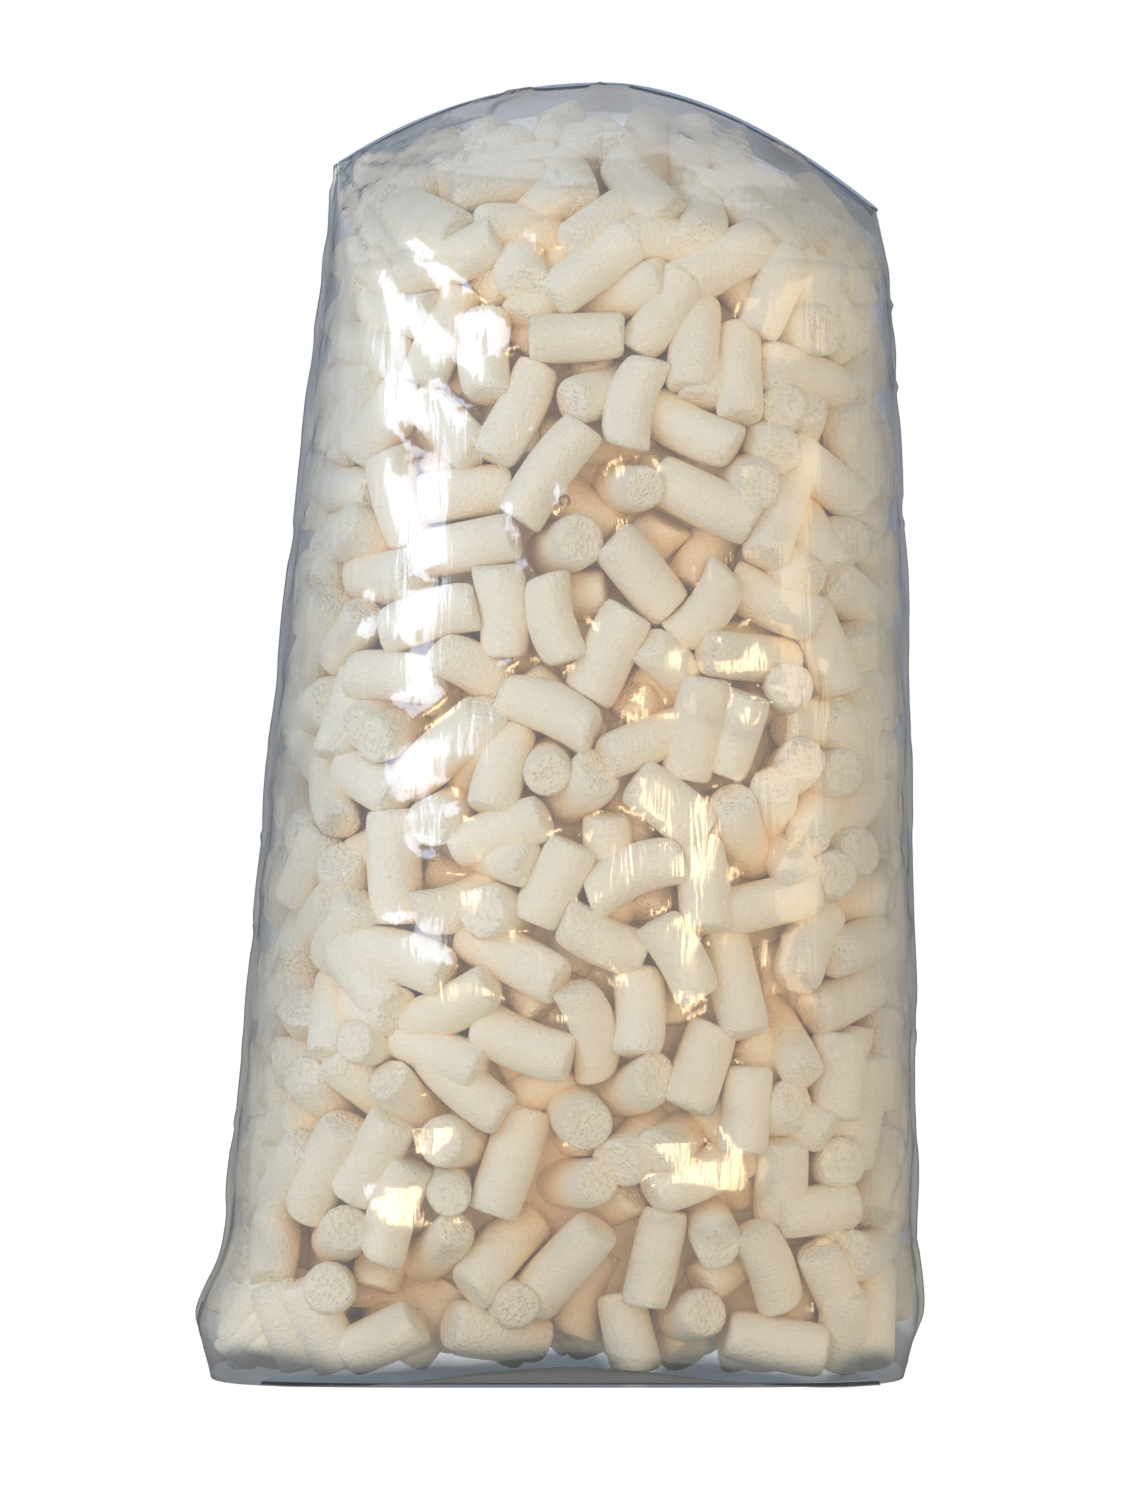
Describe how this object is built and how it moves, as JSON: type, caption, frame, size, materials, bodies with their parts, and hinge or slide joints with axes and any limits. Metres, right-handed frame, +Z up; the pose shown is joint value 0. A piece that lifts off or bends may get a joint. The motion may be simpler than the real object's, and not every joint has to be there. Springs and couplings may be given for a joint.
{
  "type": "packing peanut bag",
  "caption": "Clear film bag standing on its flattened base, sealed along the bottom and the top and full of starch foam packing peanuts.",
  "frame": {"origin": "on the floor, under the middle of the bag's box", "axes": "+Z up from the floor to the crest, -Y to the front, +X to the right as seen from the front"},
  "size_m": [0.253, 0.1622, 0.446],
  "materials": {
    "clear_film": "gloss",
    "starch_foam": "matte"
  },
  "bodies": {
    "root": {"film_bag": "clear_film", "peanut_01": "starch_foam", "peanut_02": "starch_foam", "peanut_03": "starch_foam", "peanut_04": "starch_foam", "peanut_05": "starch_foam", "peanut_06": "starch_foam", "peanut_07": "starch_foam", "peanut_08": "starch_foam", "peanut_09": "starch_foam", "peanut_10": "starch_foam", "peanut_11": "starch_foam", "peanut_12": "starch_foam", "peanut_13": "starch_foam", "peanut_14": "starch_foam", "peanut_15": "starch_foam", "peanut_16": "starch_foam", "peanut_17": "starch_foam", "peanut_18": "starch_foam", "peanut_19": "starch_foam", "peanut_20": "starch_foam", "peanut_21": "starch_foam", "peanut_22": "starch_foam", "peanut_23": "starch_foam", "peanut_24": "starch_foam", "peanut_25": "starch_foam", "peanut_26": "starch_foam", "peanut_27": "starch_foam", "peanut_28": "starch_foam", "peanut_29": "starch_foam", "peanut_30": "starch_foam", "peanut_31": "starch_foam", "peanut_32": "starch_foam", "peanut_33": "starch_foam", "peanut_34": "starch_foam", "peanut_35": "starch_foam", "peanut_36": "starch_foam", "peanut_37": "starch_foam", "peanut_38": "starch_foam", "peanut_39": "starch_foam", "peanut_40": "starch_foam", "peanut_41": "starch_foam", "peanut_42": "starch_foam", "peanut_heap": "starch_foam"}
  },
  "joints": []
}
